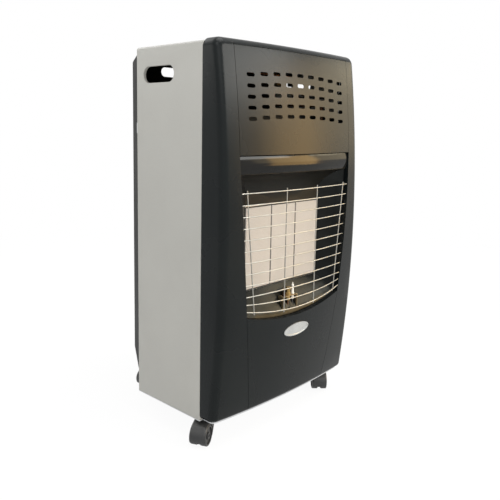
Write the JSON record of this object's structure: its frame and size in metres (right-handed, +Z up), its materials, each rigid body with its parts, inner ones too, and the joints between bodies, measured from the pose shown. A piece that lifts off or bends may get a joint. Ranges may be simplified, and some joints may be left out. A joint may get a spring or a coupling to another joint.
{
  "type": "portable gas cabinet heater",
  "caption": "Upright steel cabinet heater on casters: domed black front, slotted vent panel, ceramic burner behind a curved wire guard, silver sides with handle slots, lift-off rear cover.",
  "frame": {"origin": "centre of the footprint's bounding box, on the floor", "axes": "+Z up, -Y out of the front with the burner, +X to the right of someone facing the front"},
  "size_m": [0.4394, 0.388, 0.76],
  "materials": {
    "side_paint": "satin",
    "front_paint": "gloss",
    "cover_paint": "satin",
    "visor_gloss": "gloss",
    "reflector_steel": "gloss",
    "guard_wire": "gloss",
    "ceramic": "matte",
    "seal_fibre": "matte",
    "aluminised_steel": "satin",
    "zinc_steel": "satin",
    "brass": "satin",
    "copper_pipe": "satin",
    "white_ceramic": "gloss",
    "lead_sleeve": "satin",
    "badge_plate": "satin",
    "control_black": "matte",
    "knob_black": "satin",
    "pad_rubber": "matte",
    "caster_plastic": "satin",
    "wheel_plastic": "satin"
  },
  "bodies": {
    "cabinet": {"badge": "badge_plate", "base_pan": "zinc_steel", "burner_hood": "visor_gloss", "burner_housing": "aluminised_steel", "burner_pipe": "copper_pipe", "caster_sockets": "zinc_steel", "ceramic_plaque_centre": "ceramic", "ceramic_plaque_left": "ceramic", "ceramic_plaque_right": "ceramic", "control_bezel": "control_black", "cover_bumpers": "pad_rubber", "cover_staples": "zinc_steel", "front_frame": "front_paint", "gas_valve": "brass", "guard_grille": "guard_wire", "heat_shield": "aluminised_steel", "igniter_body": "control_black", "igniter_nut": "zinc_steel", "injector_rail": "aluminised_steel", "inlet_nipple": "brass", "left_side_panel": "side_paint", "lower_front_panel": "front_paint", "panel_screws": "zinc_steel", "pilot_bracket": "zinc_steel", "pilot_burner": "brass", "pilot_pipe": "copper_pipe", "plaque_seal": "seal_fibre", "reflector": "reflector_steel", "right_side_panel": "side_paint", "spark_electrode": "white_ceramic", "spark_lead": "lead_sleeve", "thermocouple": "copper_pipe", "thermocouple_lead": "copper_pipe", "top_panel": "side_paint", "valve_bracket": "zinc_steel", "vent_panel": "front_paint", "venturi_tubes": "aluminised_steel", "visor_strip": "visor_gloss"},
    "rear_cover": {"rear_cover": "cover_paint"},
    "valve_push": {"valve_collar": "zinc_steel"},
    "knob": {"control_knob": "knob_black", "valve_spindle": "zinc_steel"},
    "igniter_button": {"igniter_button": "knob_black"},
    "front_left_swivel": {"caster_front_left_hood": "caster_plastic", "caster_front_left_stem": "zinc_steel"},
    "front_left_wheels": {"caster_front_left_axle": "zinc_steel", "caster_front_left_wheels": "wheel_plastic"},
    "front_right_swivel": {"caster_front_right_hood": "caster_plastic", "caster_front_right_stem": "zinc_steel"},
    "front_right_wheels": {"caster_front_right_axle": "zinc_steel", "caster_front_right_wheels": "wheel_plastic"},
    "rear_left_swivel": {"caster_rear_left_hood": "caster_plastic", "caster_rear_left_stem": "zinc_steel"},
    "rear_left_wheels": {"caster_rear_left_axle": "zinc_steel", "caster_rear_left_wheels": "wheel_plastic"},
    "rear_right_swivel": {"caster_rear_right_hood": "caster_plastic", "caster_rear_right_stem": "zinc_steel"},
    "rear_right_wheels": {"caster_rear_right_axle": "zinc_steel", "caster_rear_right_wheels": "wheel_plastic"}
  },
  "joints": [
    {"name": "cover_lift", "type": "slide", "parent": "cabinet", "child": "rear_cover", "axis": [0, 0, 1], "range_m": [0, 0.7]},
    {"name": "knob_push", "type": "slide", "parent": "cabinet", "child": "valve_push", "axis": [0, 0, -1], "range_m": [0, 0.003], "stiffness_N_per_m": 1200, "springref_m": -0.003},
    {"name": "knob_turn", "type": "hinge", "parent": "valve_push", "child": "knob", "pos_m": [0.06471, -0.06195, 0.745], "axis": [0, 0, 1], "range_deg": [0, 210]},
    {"name": "igniter_press", "type": "slide", "parent": "cabinet", "child": "igniter_button", "axis": [0, 0, -1], "range_m": [0, 0.005], "stiffness_N_per_m": 600, "springref_m": -0.003},
    {"name": "front_left_swivel_turn", "type": "hinge", "parent": "cabinet", "child": "front_left_swivel", "pos_m": [-0.17328, -0.11095, 0.0492], "axis": [0, 0, 1], "continuous": true},
    {"name": "front_left_wheel_spin", "type": "hinge", "parent": "front_left_swivel", "child": "front_left_wheels", "pos_m": [-0.19314, -0.12042, 0.02], "axis": [-0.4305, 0.9026, 0], "continuous": true},
    {"name": "front_right_swivel_turn", "type": "hinge", "parent": "cabinet", "child": "front_right_swivel", "pos_m": [0.19271, -0.11095, 0.0492], "axis": [0, 0, 1], "continuous": true},
    {"name": "front_right_wheel_spin", "type": "hinge", "parent": "front_right_swivel", "child": "front_right_wheels", "pos_m": [0.17708, -0.12642, 0.02], "axis": [-0.7034, 0.7108, 0], "continuous": true},
    {"name": "rear_left_swivel_turn", "type": "hinge", "parent": "cabinet", "child": "rear_left_swivel", "pos_m": [-0.08128, 0.16005, 0.0492], "axis": [0, 0, 1], "continuous": true},
    {"name": "rear_left_wheel_spin", "type": "hinge", "parent": "rear_left_swivel", "child": "rear_left_wheels", "pos_m": [-0.10328, 0.16005, 0.02], "axis": [0, 1, 0], "continuous": true},
    {"name": "rear_right_swivel_turn", "type": "hinge", "parent": "cabinet", "child": "rear_right_swivel", "pos_m": [0.10071, 0.16005, 0.0492], "axis": [0, 0, 1], "continuous": true},
    {"name": "rear_right_wheel_spin", "type": "hinge", "parent": "rear_right_swivel", "child": "rear_right_wheels", "pos_m": [0.08004, 0.15253, 0.02], "axis": [-0.342, 0.9397, 0], "continuous": true}
  ]
}
